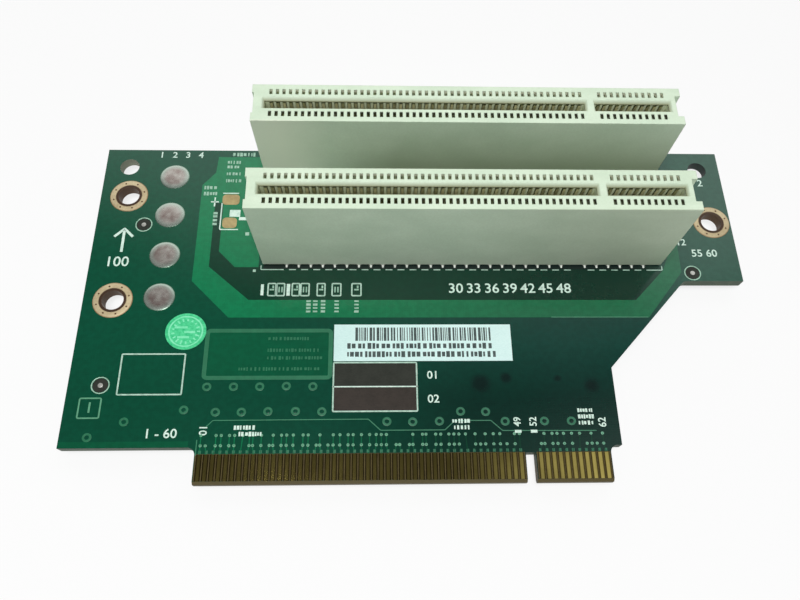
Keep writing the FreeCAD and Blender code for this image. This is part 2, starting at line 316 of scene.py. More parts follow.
def mask_finish(name, left, right, rough=0.15, shade=1.0):
    finish, tree, shader, place = new_finish(name, Specular_IOR_Level=0.5)
    drift = tree.noise(place, DRIFT_SCALE, detail=4.0)
    speck = tree.ramp(tree.noise(place, SPECK_SCALE, detail=5.0), *SPECK_SPAN)
    weave = tree.wave(place, WEAVE_WAVES, "X") * tree.wave(place, WEAVE_WAVES, "Y")
    lacquer = lacquer_colour(tree, place, drift, left, right, shade)
    grimy = tree.blend(GRIME_SHARE, lacquer, paint(*GRIME))
    lacquer = tree.blend((1 - speck) * SPECK_DARK + weave * WEAVE_DARK, lacquer, grimy)
    lacquer = smudged(tree, place, drift, lacquer)
    height = tree.parts(place)[2]
    sawn = between(height, BOARD_BOTTOM + FACE_SKIN, BOARD_TOP - FACE_SKIN)
    colour = tree.blend(sawn, lacquer, laminate_colour(tree, place, speck))
    roughness = rough + sawn * SAWN_ROUGH + (drift - 0.5) * DRIFT_ROUGH
    bump = tree.bump(weave + speck, WEAVE_BUMP, WEAVE_DEPTH)
    feed(tree, shader, Base_Color=colour, Roughness=roughness, Normal=bump)
    return finish


board_mask = mask_finish("board_mask", (8, 80, 57), (16, 65, 55))
copper_mask = mask_finish("copper_mask", (16, 128, 82), (30, 108, 72))
pale_mask = mask_finish("pale_mask", (62, 138, 102), (84, 150, 118), rough=0.3, shade=0.2)
dot_mask = mask_finish("dot_mask", (100, 164, 130), (114, 172, 142), rough=0.3, shade=0.0)
ring_mask = mask_finish("ring_mask", (44, 118, 84), (60, 126, 96), rough=0.3, shade=0.2)
panel_mask = mask_finish("panel_mask", (10, 93, 62), (14, 82, 58))
# Painted shade for the band in front of the front slot.
deep_mask = mask_finish("deep_mask", (6, 62, 42), (6, 48, 36))
# Near-black painted shadow for the strips in front of the housings.
cleared_mask = mask_finish("cleared_mask", (6, 24, 20), (10, 28, 26), rough=0.3)
masks = [finish.name for finish in bpy.data.materials if finish.name.endswith("_mask")]
print("masks:", masks)

# %% [markdown]
# ## Slot plastic
# The housings are moulded in an ivory glass-filled plastic, with a faint flow mottle, a fine matt texture and
# slightly rounded edges. Modelled fillets would change the solids, so a Bevel node rounds the edges in the
# shading only. Inside the chamber painted shade darkens the plastic, more towards the bottom. Painted shade
# also darkens the throat's sloping lead-in, the windows' near walls and parts of the housings' front faces,
# and painted light brightens the windows' far walls and the left end of the rear housing's front face.
# Places along, beside and above the slots tell them apart.

# %% Where the housings change colour
front_low, front_high = box_mm("front_slot_housing")
rear_low, rear_high = box_mm("rear_slot_housing")
SLOT_ROWS = [(low.y + high.y) / 2 for low, high in ((front_low, front_high), (rear_low, rear_high))]
SLOT_TOP = front_high.z
RIM, WINDOW_LIP, MARGIN = 0.6, 0.12, 0.02
RIM_UNDERSIDE = SLOT_TOP - RIM - MARGIN
CHAMBER_SIDE, CHAMBER_END, CHAMBER_FLOOR = 3.66, 2.2, 5.9
LEAD_IN_SIDE, LEAD_IN_END = 1.55, 1.3
LEAD_IN_TOP, LEAD_IN_DEPTH, LEAD_IN_STRENGTH = 0.03, 0.45, 0.9
WALL_SKIN, MIDDLE_Y = 0.2, 20.0
plastic, tree, shader, place = new_finish("slot_plastic_finish", Specular_IOR_Level=0.35)
x, y, z = tree.parts(place)
front_row, rear_row = [row * MM for row in SLOT_ROWS]
aside = abs(y - front_row).lesser(abs(y - rear_row))
along = between(x, front_low.x + CHAMBER_END, front_high.x - CHAMBER_END)
inside = along * (aside < CHAMBER_SIDE * MM) * between(z, CHAMBER_FLOOR, RIM_UNDERSIDE)
in_window = along * between(aside, LEAD_IN_SIDE, CHAMBER_SIDE)
in_window = in_window * between(z, RIM_UNDERSIDE, SLOT_TOP - WINDOW_LIP)
far_side = (y > rear_row) + between(y, SLOT_ROWS[0], SLOT_ROWS[0] + CHAMBER_SIDE)
slope = [(SLOT_TOP - depth) * MM for depth in (LEAD_IN_TOP, LEAD_IN_DEPTH)]
lead_in = between(x, front_low.x + LEAD_IN_END, front_high.x - LEAD_IN_END) * (aside < LEAD_IN_SIDE * MM)
lead_in = lead_in * tree.ramp(z, *slope, 0.0, LEAD_IN_STRENGTH)
on_rear = between(y, MIDDLE_Y, rear_low.y + WALL_SKIN)
on_front = y < (front_low.y + WALL_SKIN) * MM
print("slot rows at", [round(row, 2) for row in SLOT_ROWS], "mm")

# %% Slot plastic finish
IVORY_DULL, IVORY_BRIGHT, GRAIN_TINT = (214, 233, 208), (226, 243, 219), (190, 198, 172)
CHAMBER_SHADE_DULL, CHAMBER_SHADE_BRIGHT, CHAMBER_SHADE_DEEP = (216, 226, 194), (230, 240, 208), (184, 188, 144)
CHAMBER_SHADE_FADE = (0.0182, 0.0164)
WINDOW_NEAR_SHADE, WINDOW_FAR_LIGHT = (96, 96, 78), (240, 242, 220)
WALL_SHADE, WALL_PAINTED_LIGHT, LEAD_IN_SHADE = (122, 130, 94), (238, 246, 224), (142, 144, 106)
REAR_ALONG, REAR_DOWN = (-0.025, -0.005), (0.019, 0.009, 0.0, 0.66)
FRONT_WALL_ALONG = (0.005, 0.045, 0.0, 0.3)
LIGHT_END = (-0.018, -0.028)
FLOW_STRETCH, FLOW_SCALE, GRAIN_SCALE = (1.0, 3.0, 2.0), 110.0, 2600.0
IVORY_SPAN, GRAIN_SPAN, CHAMBER_SHADE_SPAN = (0.35, 0.7), (0.35, 0.65, 0.0, 0.12), (0.3, 0.7)
MATT, GRAIN_ROUGH, GRAIN_BUMP, GRAIN_DEPTH = 0.45, 0.16, 0.15, 0.00003
EDGE_ROUND = 0.00014
flow = tree.noise(tree.stretched(place, FLOW_STRETCH), FLOW_SCALE, detail=4.0)
grain = tree.noise(place, GRAIN_SCALE)
ivory = tree.blend(tree.ramp(flow, *IVORY_SPAN), paint(*IVORY_DULL), paint(*IVORY_BRIGHT))
ivory = tree.blend(tree.ramp(grain, *GRAIN_SPAN), ivory, paint(*GRAIN_TINT))
# Painted shade inside the chambers, darker towards the bottom.
chamber_shade = tree.blend(tree.ramp(flow, *CHAMBER_SHADE_SPAN), paint(*CHAMBER_SHADE_DULL), paint(*CHAMBER_SHADE_BRIGHT))
chamber_shade = tree.blend(tree.ramp(z, *CHAMBER_SHADE_FADE), chamber_shade, paint(*CHAMBER_SHADE_DEEP))
# Painted shade: the rear housing's front face darkens downwards and away from its left end, and the front
# housing's front face darkens to the right.
shaded = on_rear * tree.ramp(x, *REAR_ALONG) * tree.ramp(z, *REAR_DOWN)
shaded = shaded + on_front * tree.ramp(x, *FRONT_WALL_ALONG)
ivory = tree.blend(shaded, ivory, paint(*WALL_SHADE))
# Painted light on the left end of the rear housing's front face.
ivory = tree.blend(on_rear * tree.ramp(x, *LIGHT_END), ivory, paint(*WALL_PAINTED_LIGHT))
# Painted shade on the throat's sloping lead-in.
colour = tree.blend(lead_in, ivory, paint(*LEAD_IN_SHADE))
colour = tree.blend(inside, colour, chamber_shade)
# Painted shade on the windows' near walls and painted light on their far walls.
window_wall = tree.blend(far_side, paint(*WINDOW_NEAR_SHADE), paint(*WINDOW_FAR_LIGHT))
colour = tree.blend(in_window, colour, window_wall)
rounded_edge = tree.node("ShaderNodeBevel", {"samples": 4}, {"Radius": EDGE_ROUND})
bump = tree.bump(grain, GRAIN_BUMP, GRAIN_DEPTH, rounded_edge)
feed(tree, shader, Base_Color=colour, Roughness=MATT + grain * GRAIN_ROUGH, Normal=bump)
print("plastic:", plastic.name)

# %% [markdown]
# ## Metals
# Hard gold covers the fingers, thin dull gold the lands round the screw holes, tin the round pads and the
# solder joints, and the contacts have their own plated spring metal. Each could have a tree of its own, but
# they differ only in numbers, so they share one recipe: a colour that drifts between two tones, and scratches
# as noise stretched along the wiping direction. A turned piece carries each point's distance from its axis as
# an attribute, so its finish can change ring by ring. Fingers darken to their sides, contacts with depth.

# %% Recipe for a metal
PITCH, FINGER_WIDTH = 1.27, 1.02
FINGER_SIDE, FINGER_SHADE = (0.20, 0.33), (84, 70, 34)
CLOUD_SHARE, SCRATCH_SHARE, TONE_SPAN = 0.6, 0.4, (0.38, 0.62)
SCRATCH_ROUGH, SCRATCH_BUMP = 0.3, 0.25
finger_low, finger_high = box_mm("upper_edge_fingers")
FIRST_FINGER = finger_low.x + FINGER_WIDTH / 2


def metal_finish(name, dull, bright, metallic, rough, drift, stretch, depth, bands=(), first=None, sunk=()):
    finish, tree, shader, place = new_finish(name, Metallic=metallic)
    clouds = tree.noise(place, drift, detail=5.0)
    scratch = tree.noise(tree.stretched(place, stretch), scale=1.0)
    tone = tree.ramp(clouds * CLOUD_SHARE + scratch * SCRATCH_SHARE, *TONE_SPAN)
    colour = tree.blend(tone, paint(*dull), paint(*bright))
    if bands:
        reach = tree.node("ShaderNodeAttribute", {"attribute_name": "reach"}, None, "Fac")
    for start, full, shade in bands:
        colour = tree.blend(tree.ramp(reach, start, full), colour, paint(*shade))
    if first is not None:
        step = (tree.parts(place)[0] - first * MM) * (1 / (PITCH * MM)) + 0.5
        aside = abs(step.work("FRACT", step) - 0.5)
        colour = tree.blend(tree.ramp(aside, *FINGER_SIDE), colour, paint(*FINGER_SHADE))
    # Painted shade: the colour darkens with depth.
    for start, full, shade in sunk:
        height = tree.parts(place)[2]
        colour = tree.blend(tree.ramp(height, start * MM, full * MM), colour, paint(*shade))
    roughness = rough + (scratch - 0.5) * (SCRATCH_ROUGH * rough)
    bump = tree.bump(scratch + clouds, SCRATCH_BUMP, depth)
    feed(tree, shader, Base_Color=colour, Roughness=roughness, Normal=bump)
    return finish


print("first finger at", round(FIRST_FINGER, 3), "mm, pitch", PITCH, "mm")

# %% Metal finishes
LAND_BANDS = [(2.92, 2.74, (66, 42, 24)), (2.34, 2.28, (84, 60, 38)), (3.86, 4.02, (146, 116, 80))]
# Painted reflections on the tin pads: a pale rim and a grey-green edge.
PAD_RIM_REFLECTIONS = [(1.9, 2.9, (196, 209, 198)), (2.95, 3.2, (112, 146, 126))]
# Painted shade on the contacts, deeper down in the slot.
CONTACT_SHADES = [(17.9, 16.4, (152, 146, 100))]
finger_gold = metal_finish(
    "finger_gold", (190, 172, 96), (222, 202, 116), metallic=1.0, rough=0.1,
    drift=240.0, stretch=(9000, 120, 900), depth=2e-7, first=FIRST_FINGER,
)
land_gold = metal_finish(
    "land_gold", (194, 175, 137), (215, 197, 158), metallic=0.25, rough=0.45,
    drift=500.0, stretch=(2500, 2500, 900), depth=2e-5, bands=LAND_BANDS,
)
bare_copper = metal_finish(
    "bare_copper", (84, 52, 30), (108, 72, 44), metallic=0.3, rough=0.5,
    drift=600.0, stretch=(2500, 2500, 900), depth=2e-5,
)
pad_tin = metal_finish(
    "pad_tin", (162, 143, 138), (214, 208, 201), metallic=0.8, rough=0.27,
    drift=420.0, stretch=(700, 700, 900), depth=6e-6, bands=PAD_RIM_REFLECTIONS,
)
solder = metal_finish(
    "solder", (186, 184, 178), (222, 220, 214), metallic=0.6, rough=0.35,
    drift=420.0, stretch=(1200, 1200, 900), depth=3e-5,
)
tab_tin = metal_finish(
    "tab_tin", (214, 218, 210), (236, 240, 232), metallic=0.1, rough=0.4,
    drift=420.0, stretch=(1200, 1200, 900), depth=2e-5,
)
chip_gold = metal_finish(
    "chip_gold", (172, 150, 104), (196, 176, 124), metallic=0.25, rough=0.45,
    drift=420.0, stretch=(1500, 1500, 900), depth=3e-5,
)
contact_metal = metal_finish(
    "contact_metal", (208, 204, 154), (234, 230, 182), metallic=0.25, rough=0.4,
    drift=300.0, stretch=(3000, 3000, 400), depth=2e-5, sunk=CONTACT_SHADES,
)
metals = (finger_gold, land_gold, bare_copper, pad_tin, solder, tab_tin, chip_gold, contact_metal)
print("metals:", [finish.name for finish in metals])

# %% [markdown]
# ## Paper, ink and print
# The label is coated white paper, the sticker is paper in one bright colour, and the board's print is a matt
# ink laid on through a screen, so its edges and its cover are a little uneven. The bare laminate of the
# tongue is as matt. Each could be one flat colour, but that looks like plastic. So all are a thin and a
# full tone of one colour, mixed by fibre noise, in one recipe.

# %% Paper and ink finishes
FIBRE_SCALE, FIBRE_STRETCH = 2400.0, (1.0, 2.2, 1.0)
CLOUD_COVER, FIBRE_COVER, COVER_SPAN = 0.5, 0.5, (0.36, 0.60)
FIBRE_ROUGH, FIBRE_BUMP, FIBRE_DEPTH = 0.25, 0.2, 0.00002


def coat_finish(name, thin, full, rough, drift):
    finish, tree, shader, place = new_finish(name, Specular_IOR_Level=0.2)
    clouds = tree.noise(place, drift, detail=4.0)
    fibre = tree.noise(tree.stretched(place, FIBRE_STRETCH), FIBRE_SCALE)
    cover = tree.ramp(clouds * CLOUD_COVER + fibre * FIBRE_COVER, *COVER_SPAN)
    colour = tree.blend(cover, paint(*thin), paint(*full))
    bump = tree.bump(fibre, FIBRE_BUMP, FIBRE_DEPTH)
    feed(tree, shader, Base_Color=colour, Roughness=rough + (fibre - 0.5) * FIBRE_ROUGH, Normal=bump)
    return finish


label_paper = coat_finish("label_paper_finish", (210, 241, 237), (224, 251, 247), rough=0.5, drift=160.0)
sticker_paper = coat_finish("sticker_paper_finish", (42, 186, 122), (92, 220, 156), rough=0.45, drift=900.0)
sticker_mark = coat_finish("sticker_mark_ink", (112, 226, 170), (142, 236, 192), rough=0.5, drift=300.0)
white_ink = coat_finish("white_ink", (190, 220, 205), (226, 246, 234), rough=0.55, drift=900.0)
soft_ink = coat_finish("soft_ink", (150, 186, 168), (194, 222, 206), rough=0.55, drift=900.0)
faint_ink = coat_finish("faint_ink", (134, 176, 154), (176, 210, 190), rough=0.55, drift=900.0)
brown_ink = coat_finish("brown_ink", (48, 43, 38), (58, 51, 46), rough=0.5, drift=500.0)
dark_ink = coat_finish("dark_ink", (40, 43, 37), (50, 52, 46), rough=0.5, drift=500.0)
label_ink = coat_finish("label_ink", (58, 70, 70), (86, 98, 96), rough=0.5, drift=900.0)
bare_laminate = coat_finish("bare_laminate", (62, 52, 26), (84, 72, 38), rough=0.55, drift=500.0)
print("papers:", label_paper.name, sticker_paper.name)
print("inks:", [finish.name for finish in bpy.data.materials if finish.name.endswith("_ink")])

# %% [markdown]
# ## Dressing the solids
# The record names a material slot for every solid. Each slot gets one of the finishes above, so a solid that
# is made again with the same slot is dressed without a change here.

# %% Dress the solids
FINISH_OF_SLOT = {
    "solder_mask": board_mask,
    "slot_plastic": plastic,
    "contact_metal": contact_metal,
    "gold_plating": finger_gold,
    "label_paper": label_paper,
    "sticker_paper": sticker_paper,
}
slot_of_node = {part["node"]: part["material_slot"] for part in frame["record"]["subparts"]}
for name, solid in frame["nodes"].items():
    solid.data.materials.clear()
    solid.data.materials.append(FINISH_OF_SLOT[slot_of_node[name]])
print("dressed", len(slot_of_node), "solids")

# %% [markdown]
# ## Making pieces
# A shape that is turned about an axis comes from its profile, ring by ring, and a flat one from its outline.
# What repeats comes from one node tree that sets a shape out on points, each with its own size and turn.
# What follows a path comes from a second tree, which lays a flat line along edges and rounds its corners.
# Loops in Python could copy the meshes, but a tree can be opened and changed by hand. The result is a plain
# mesh, because instances are lost when the part is exported.

# %% Keep a piece
def keep(name, mesh, finish):
    """Adds a finished mesh to the part."""
    mesh.materials.clear()
    mesh.materials.append(finish)
    made = placed(name, mesh)
    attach(made, "root")
    print(name, len(mesh.polygons), "faces")


def to_mesh(work, name):
    """Turns a finished bmesh into a mesh with its faces pointing outwards."""
    bmesh.ops.recalc_face_normals(work, faces=work.faces)
    mesh = bpy.data.meshes.new(name)
    work.to_mesh(mesh)
    work.free()
    return mesh


def joined(meshes):
    """Several meshes as one."""
    work = bmesh.new()
    for mesh in meshes:
        work.from_mesh(mesh)
    return to_mesh(work, "joined")


print("ready: keep, to_mesh, joined")

# %% Turned shapes
SHARP_ANGLE = 35


def turned(profile, segments, closed=False):
    """A mesh turned about z from a profile of radius and height in millimetres."""
    work = bmesh.new()
    rings = []
    for radius, height in profile:
        count = segments if radius > 0 else 1
        angles = [2 * math.pi * index / segments for index in range(count)]
        spots = [(radius * math.cos(a) * MM, radius * math.sin(a) * MM, height * MM) for a in angles]
        rings.append([work.verts.new(spot) for spot in spots])
    pairs = list(zip(rings, rings[1:]))
    if closed:
        pairs.append((rings[-1], rings[0]))
    for lower, upper in pairs:
        for index in range(segments):
            after = index + 1
            corners = [lower[index % len(lower)], lower[after % len(lower)]]
            corners += [upper[after % len(upper)], upper[index % len(upper)]]
            corners = list(dict.fromkeys(corners))
            if len(corners) > 2:
                work.faces.new(corners)
    mesh = to_mesh(work, "turned")
    mesh.shade_smooth()
    mesh.set_sharp_from_angle(angle=math.radians(SHARP_ANGLE))
    reach = [math.hypot(vert.co.x, vert.co.y) / MM for vert in mesh.vertices]
    mesh.attributes.new("reach", "FLOAT", "POINT").data.foreach_set("value", reach)
    return mesh


print("ready: turned")

# %% Outlines and plates
def rounded(x, y, width, height, corner, steps=4):
    """The outline of a rectangle with round corners about its middle, in millimetres."""
    outline = []
    for quarter, (right, up) in enumerate(((1, 1), (-1, 1), (-1, -1), (1, -1))):
        middle_x = x + right * (width / 2 - corner)
        middle_y = y + up * (height / 2 - corner)
        for step in range(steps + 1):
            angle = (quarter + step / steps) * math.pi / 2
            outline.append((middle_x + corner * math.cos(angle), middle_y + corner * math.sin(angle)))
    return outline


def frame_path(left, right, front, rear):
    """The four corners of a rectangle."""
    return [(left, front), (right, front), (right, rear), (left, rear)]


def plate(outlines, levels):
    """Flat plates from outlines in millimetres, between two levels."""
    low, high = levels
    work = bmesh.new()
    for outline in outlines:
        corners = [work.verts.new((x * MM, y * MM, low * MM)) for x, y in outline]
        base = work.faces.new(corners)
        lifted = bmesh.ops.extrude_face_region(work, geom=[base])
        moved = [item for item in lifted["geom"] if isinstance(item, bmesh.types.BMVert)]
        bmesh.ops.translate(work, vec=(0, 0, (high - low) * MM), verts=moved)
    bmesh.ops.triangulate(work, faces=work.faces[:], ngon_method="EAR_CLIP")
    return to_mesh(work, "plate")


print("ready: rounded, frame_path, plate")

# %% Geometry trees
def new_tree(name, sockets):
    """An empty geometry tree with named inputs: the tree and a wire for each input."""
    group = bpy.data.node_groups.new(name, "GeometryNodeTree")
    for label, kind in sockets.items():
        group.interface.new_socket(label, in_out="INPUT", socket_type="NodeSocket" + kind)
    group.interface.new_socket("Result", in_out="OUTPUT", socket_type="NodeSocketGeometry")
    tree = NodeTree(group)
    start = group.nodes.new("NodeGroupInput")
    return tree, {label: Wire(tree, start.outputs[label]) for label in sockets}


def close_tree(tree, geometry, material):
    """Ends a tree in Realize Instances and Set Material."""
    real = tree.node("GeometryNodeRealizeInstances", None, {"Geometry": geometry})
    painted = tree.node("GeometryNodeSetMaterial", None, {"Geometry": real, "Material": material})
    end = tree.tree.nodes.new("NodeGroupOutput")
    tree.tree.links.new(painted.socket, end.inputs["Result"])
    return tree.tree


def as_mesh(holder):
    """An object with its modifiers, or a text, as a plain mesh."""
    evaluated = holder.evaluated_get(bpy.context.evaluated_depsgraph_get())
    return bpy.data.meshes.new_from_object(evaluated)


def grown(tree, places, **inputs):
    """Runs a tree over a mesh and returns what it makes as a plain mesh."""
    holder = placed("places", places)
    modifier = holder.modifiers.new("grow", "NODES")
    modifier.node_group = tree
    for socket in tree.interface.items_tree:
        if socket.in_out == "INPUT" and socket.name in inputs:
            modifier[socket.identifier] = inputs[socket.name]
    mesh = as_mesh(holder)
    holder.modifiers.remove(modifier)
    bpy.data.objects.remove(holder)
    return mesh


print("ready: new_tree, close_tree, as_mesh, grown")

# %% Tree that sets shapes out
tree, wires = new_tree("set_out", {"Places": "Geometry", "Shape": "Object", "Finish": "Material"})
model = {"Object": wires["Shape"], "As Instance": True}
shape = tree.node("GeometryNodeObjectInfo", None, model, "Geometry")
vector = {"data_type": "FLOAT_VECTOR"}
size = tree.node("GeometryNodeInputNamedAttribute", vector, {"Name": "size"})
turn = tree.node("GeometryNodeInputNamedAttribute", vector, {"Name": "turn"})
turn = tree.node("FunctionNodeEulerToRotation", None, {0: turn})
spread = {"Points": wires["Places"], "Instance": shape, "Rotation": turn, "Scale": size}
set_out_tree = close_tree(tree, tree.node("GeometryNodeInstanceOnPoints", None, spread), wires["Finish"])
print("tree:", set_out_tree.name)

# %% Tree that lays lines
sockets = {"Path": "Geometry", "Width": "Float", "Height": "Float", "Corner": "Float", "Finish": "Material"}
tree, wires = new_tree("lay_line", sockets)
path = tree.node("GeometryNodeMeshToCurve", None, {"Mesh": wires["Path"]})
rounding = {"Curve": path, "Count": 4, "Radius": wires["Corner"], "Limit Radius": True}
path = tree.node("GeometryNodeFilletCurve", {"mode": "POLY"}, rounding)
path = tree.node("GeometryNodeSetCurveNormal", {"mode": "Z_UP"}, {"Curve": path})
section = {"Width": wires["Width"], "Height": wires["Height"]}
section = tree.node("GeometryNodeCurvePrimitiveQuadrilateral", None, section)
sweep = {"Curve": path, "Profile Curve": section, "Fill Caps": True}
lay_line_tree = close_tree(tree, tree.node("GeometryNodeCurveToMesh", None, sweep), wires["Finish"])
print("tree:", lay_line_tree.name)

# %% Set out shapes
UNDER = (math.pi, 0.0, 0.0)
UPRIGHT = (0.0, 0.0, 0.0)
WHOLE = (1.0, 1.0, 1.0)


def set_out(name, shape, places, finish):
    """Keeps copies of a shape at places, each ((x, y, z), size, turn), in millimetres, as one piece."""
    points = bpy.data.meshes.new("points")
    points.from_pydata([Vector(place[0]) * MM for place in places], [], [])
    for label, index in (("size", 1), ("turn", 2)):
        values = [number for place in places for number in place[index]]
        points.attributes.new(label, "FLOAT_VECTOR", "POINT").data.foreach_set("vector", values)
    model = placed("model", shape)
    mesh = grown(set_out_tree, points, Shape=model, Finish=finish)
    bpy.data.objects.remove(model)
    keep(name, mesh, finish)


def on_top(spots):
    return [((x, y, BOARD_TOP), WHOLE, UPRIGHT) for x, y in spots]


def on_bottom(spots):
    return [((x, y, BOARD_BOTTOM), WHOLE, UNDER) for x, y in spots]


print("ready: set_out, on_top, on_bottom")

# %% Lay lines
def lay_lines(name, paths, width, levels, finish, corner=0.2, loops=False):
    """Keeps flat lines along paths of (x, y) in millimetres, between two levels, as one piece."""
    low, high = levels
    spots = []
    edges = []
    for path in paths:
        first = len(spots)
        spots += [(x * MM, y * MM, (low + high) / 2 * MM) for x, y in path]
        edges += [(index, index + 1) for index in range(first, len(spots) - 1)]
        if loops:
            edges.append((len(spots) - 1, first))
    line = bpy.data.meshes.new("line")
    line.from_pydata(spots, edges, [])
    sizes = {"Width": width * MM, "Height": (high - low) * MM, "Corner": corner * MM}
    mesh = grown(lay_line_tree, line, **sizes, Finish=finish)
    mesh.shade_flat()
    keep(name, mesh, finish)


print("ready: lay_lines")

# %% Blocks of print
SLAB_CHAMFER = 0.06


def slab():
    """A unit block with a chamfered upper rim, for bars and blocks of print."""
    work = bmesh.new()
    made = bmesh.ops.create_cube(work, size=1.0)
    bmesh.ops.translate(work, vec=(0, 0, 0.5), verts=made["verts"])
    rim = [edge for edge in work.edges if all(vert.co.z > 0.9 for vert in edge.verts)]
    bmesh.ops.bevel(work, geom=rim, offset=SLAB_CHAMFER, segments=1, affect="EDGES")
    return to_mesh(work, "slab")


def blocks(name, rectangles, levels, finish):
    """Keeps blocks of print, each (x, y, width, height) of its middle and size, as one piece."""
    low, high = levels
    places = []
    for x, y, width, height in rectangles:
        places.append(((x, y, low), (width * MM, height * MM, (high - low) * MM), UPRIGHT))
    set_out(name, slab(), places, finish)


print("ready: slab, blocks")

# %% [markdown]
# ## Copper under the mask
# A wide copper path runs from the upper left, round the front of the slots, to the right arm. Under the mask
# it is a hair higher than its surroundings and lighter green. The mask's nodes could paint it, but a flat
# outline lifted by its own thickness catches the light at its edge. A strip along the front edge and the
# field inside a framed panel are fainter. Between the wide path and the front slot there is no copper, and
# painted shade makes that band darker still. Along the slots' pins a near-black painted shadow lies in front
# of the housings and just under them.

# %% Copper fields
SUNK = 0.01


def layer(height):
    """The levels of a thin thing on the board's upper face, a little sunk into it."""
    return BOARD_TOP - SUNK, BOARD_TOP + height


FIELD, INNER_FIELD = layer(0.02), layer(0.01)
wide_path = [
    (-47.6, 29.2), (-44.9, 32.6), (-44.6, 37.0), (-34.0, 37.0), (-34.0, 8.1), (-39.0, 8.1), (-42.6, 12.0),
    (-42.6, 24.5), (-44.4, 24.5), (-44.4, 8.2), (-35.6, 0.2), (45.4, 0.2), (52.2, 7.4), (53.6, 10.4),
    (53.6, 14.6), (56.4, 14.6), (56.2, 7.0), (47.6, -3.9), (-39.4, -3.9), (-47.6, 4.7),
]
keep("copper_fields", plate([wide_path], FIELD), copper_mask)
edge_strip = frame_path(-69.1, -44.9, -31.55, -30.4)
panel_field = frame_path(-42.9, -18.7, -17.0, -7.2)
keep("inner_fields", plate([edge_strip, panel_field], INNER_FIELD), panel_mask)

# %% Band of painted shade between the copper and the front slot
BAND = layer(0.008)
bare_band = [
    (-34.0, 8.7), (-34.0, 8.1), (-39.0, 8.1), (-42.6, 12.0), (-42.6, 24.5), (-44.4, 24.5), (-44.4, 8.2),
    (-35.6, 0.2), (45.4, 0.2), (52.2, 7.4), (52.2, 8.7),
]
# No copper lies here, and the darker green is painted shade from the slot.
keep("bare_band", plate([bare_band], BAND), deep_mask)

# %% Strips of painted shadow along the slots
SHADOW_LEVELS = layer(0.012)
SHADOW_FRONT, SHADOW_REAR, SHADOW_END = 1.0, 0.6, 0.1
shadow_strips = []
for low, high in ((front_low, front_high), (rear_low, rear_high)):
    ends = (low.x + SHADOW_END, high.x - SHADOW_END)
    shadow_strips.append(frame_path(*ends, low.y - SHADOW_FRONT, low.y + SHADOW_REAR))
# Painted shadow: near-black strips in front of and under each housing.
keep("cleared_strips", plate(shadow_strips, SHADOW_LEVELS), cleared_mask)

# %% Framed panel and numbered box
PANEL_LINE, BOX_LINE = 0.85, 0.3
panel = [frame_path(-43.2, -18.4, -17.3, -6.9)]
lay_lines("panel_frame", panel, PANEL_LINE, FIELD, ring_mask, corner=0.6, loops=True)
number_box = [frame_path(-66.5, -62.4, -25.6, -21.5)]
lay_lines("number_box", number_box, BOX_LINE, FIELD, dot_mask, corner=0.3, loops=True)

# %% [markdown]
# ## Fingers, vias and traces
# Each finger has a short neck and leads to a via, a small plated hole that takes its signal to another layer.
# The vias stand in two rows so that there is room for them, and around the fingers the tongue is bare
# laminate. A via is a ring of copper with a sunken middle. A hole cut in a disc would give long thin
# faces, so it is turned from a profile. The tree sets the rings out above and below, and short lines
# join them to the fingers.

# %% Fingers and their vias
PLACE_COUNT = 62
KEY_PLACES = (49, 50)
TRACE = layer(0.03)
TRACE_WIDTH = 0.2
VIA_ROWS, VIA_SHARE, VIA_LEANS = (1.75, 3.8), 0.8, (-0.3, 0.0, 0.3)
FINGER_OVERLAP = 0.3
SEED = 11
dice = random.Random(SEED)
contact_places = [index for index in range(PLACE_COUNT) if index not in KEY_PLACES]
stubs = []
dots = []
for index in contact_places:
    x = FIRST_FINGER + index * PITCH
    rows = [drop for drop in VIA_ROWS if dice.random() < VIA_SHARE] or [VIA_ROWS[0]]
    lean = dice.choice(VIA_LEANS)
    dots += [(x + lean, finger_high.y + drop) for drop in rows]
    ends = [(x + lean, finger_high.y + drop) for drop in (rows[0], rows[-1])]
    stubs.append([(x, finger_high.y - FINGER_OVERLAP)] + ends)
small_via = [(0.31, -SUNK), (0.31, 0.035), (0.26, 0.045), (0.10, 0.045), (0.08, 0.02), (0, 0.02)]
small_via = turned(small_via, segments=10)
set_out("finger_vias", small_via, on_top(dots) + on_bottom(dots), dot_mask)
lay_lines("finger_stubs", stubs, TRACE_WIDTH, TRACE, copper_mask, corner=0.1)

# %% Necks of the fingers
NECK_MIDDLE, NECK_WIDTH, NECK_LENGTH = 0.5, 0.5, 0.6
neck_y = finger_high.y + NECK_MIDDLE
necks = [(FIRST_FINGER + index * PITCH, neck_y, NECK_WIDTH, NECK_LENGTH) for index in contact_places]
blocks("finger_necks", necks, TRACE, ring_mask)

# %% Bare laminate of the tongue
NOTCH_SIDES = (19.2, 21.4)
TONGUE_MARGIN, FRONT_INSET, REAR_REACH = 0.3, 0.05, 0.1
LAMINATE_LIFT = 0.012
tongue_left, tongue_right = finger_low.x - TONGUE_MARGIN, finger_high.x + TONGUE_MARGIN
tongue_ends = (finger_low.y + FRONT_INSET, finger_high.y + REAR_REACH)
tongue = [
    frame_path(tongue_left, NOTCH_SIDES[0], *tongue_ends),
    frame_path(NOTCH_SIDES[1], tongue_right, *tongue_ends),
]
upper_laminate = plate(tongue, layer(LAMINATE_LIFT))
lower_laminate = plate(tongue, (BOARD_BOTTOM - LAMINATE_LIFT, BOARD_BOTTOM + SUNK))
keep("tongue_laminate", joined([upper_laminate, lower_laminate]), bare_laminate)

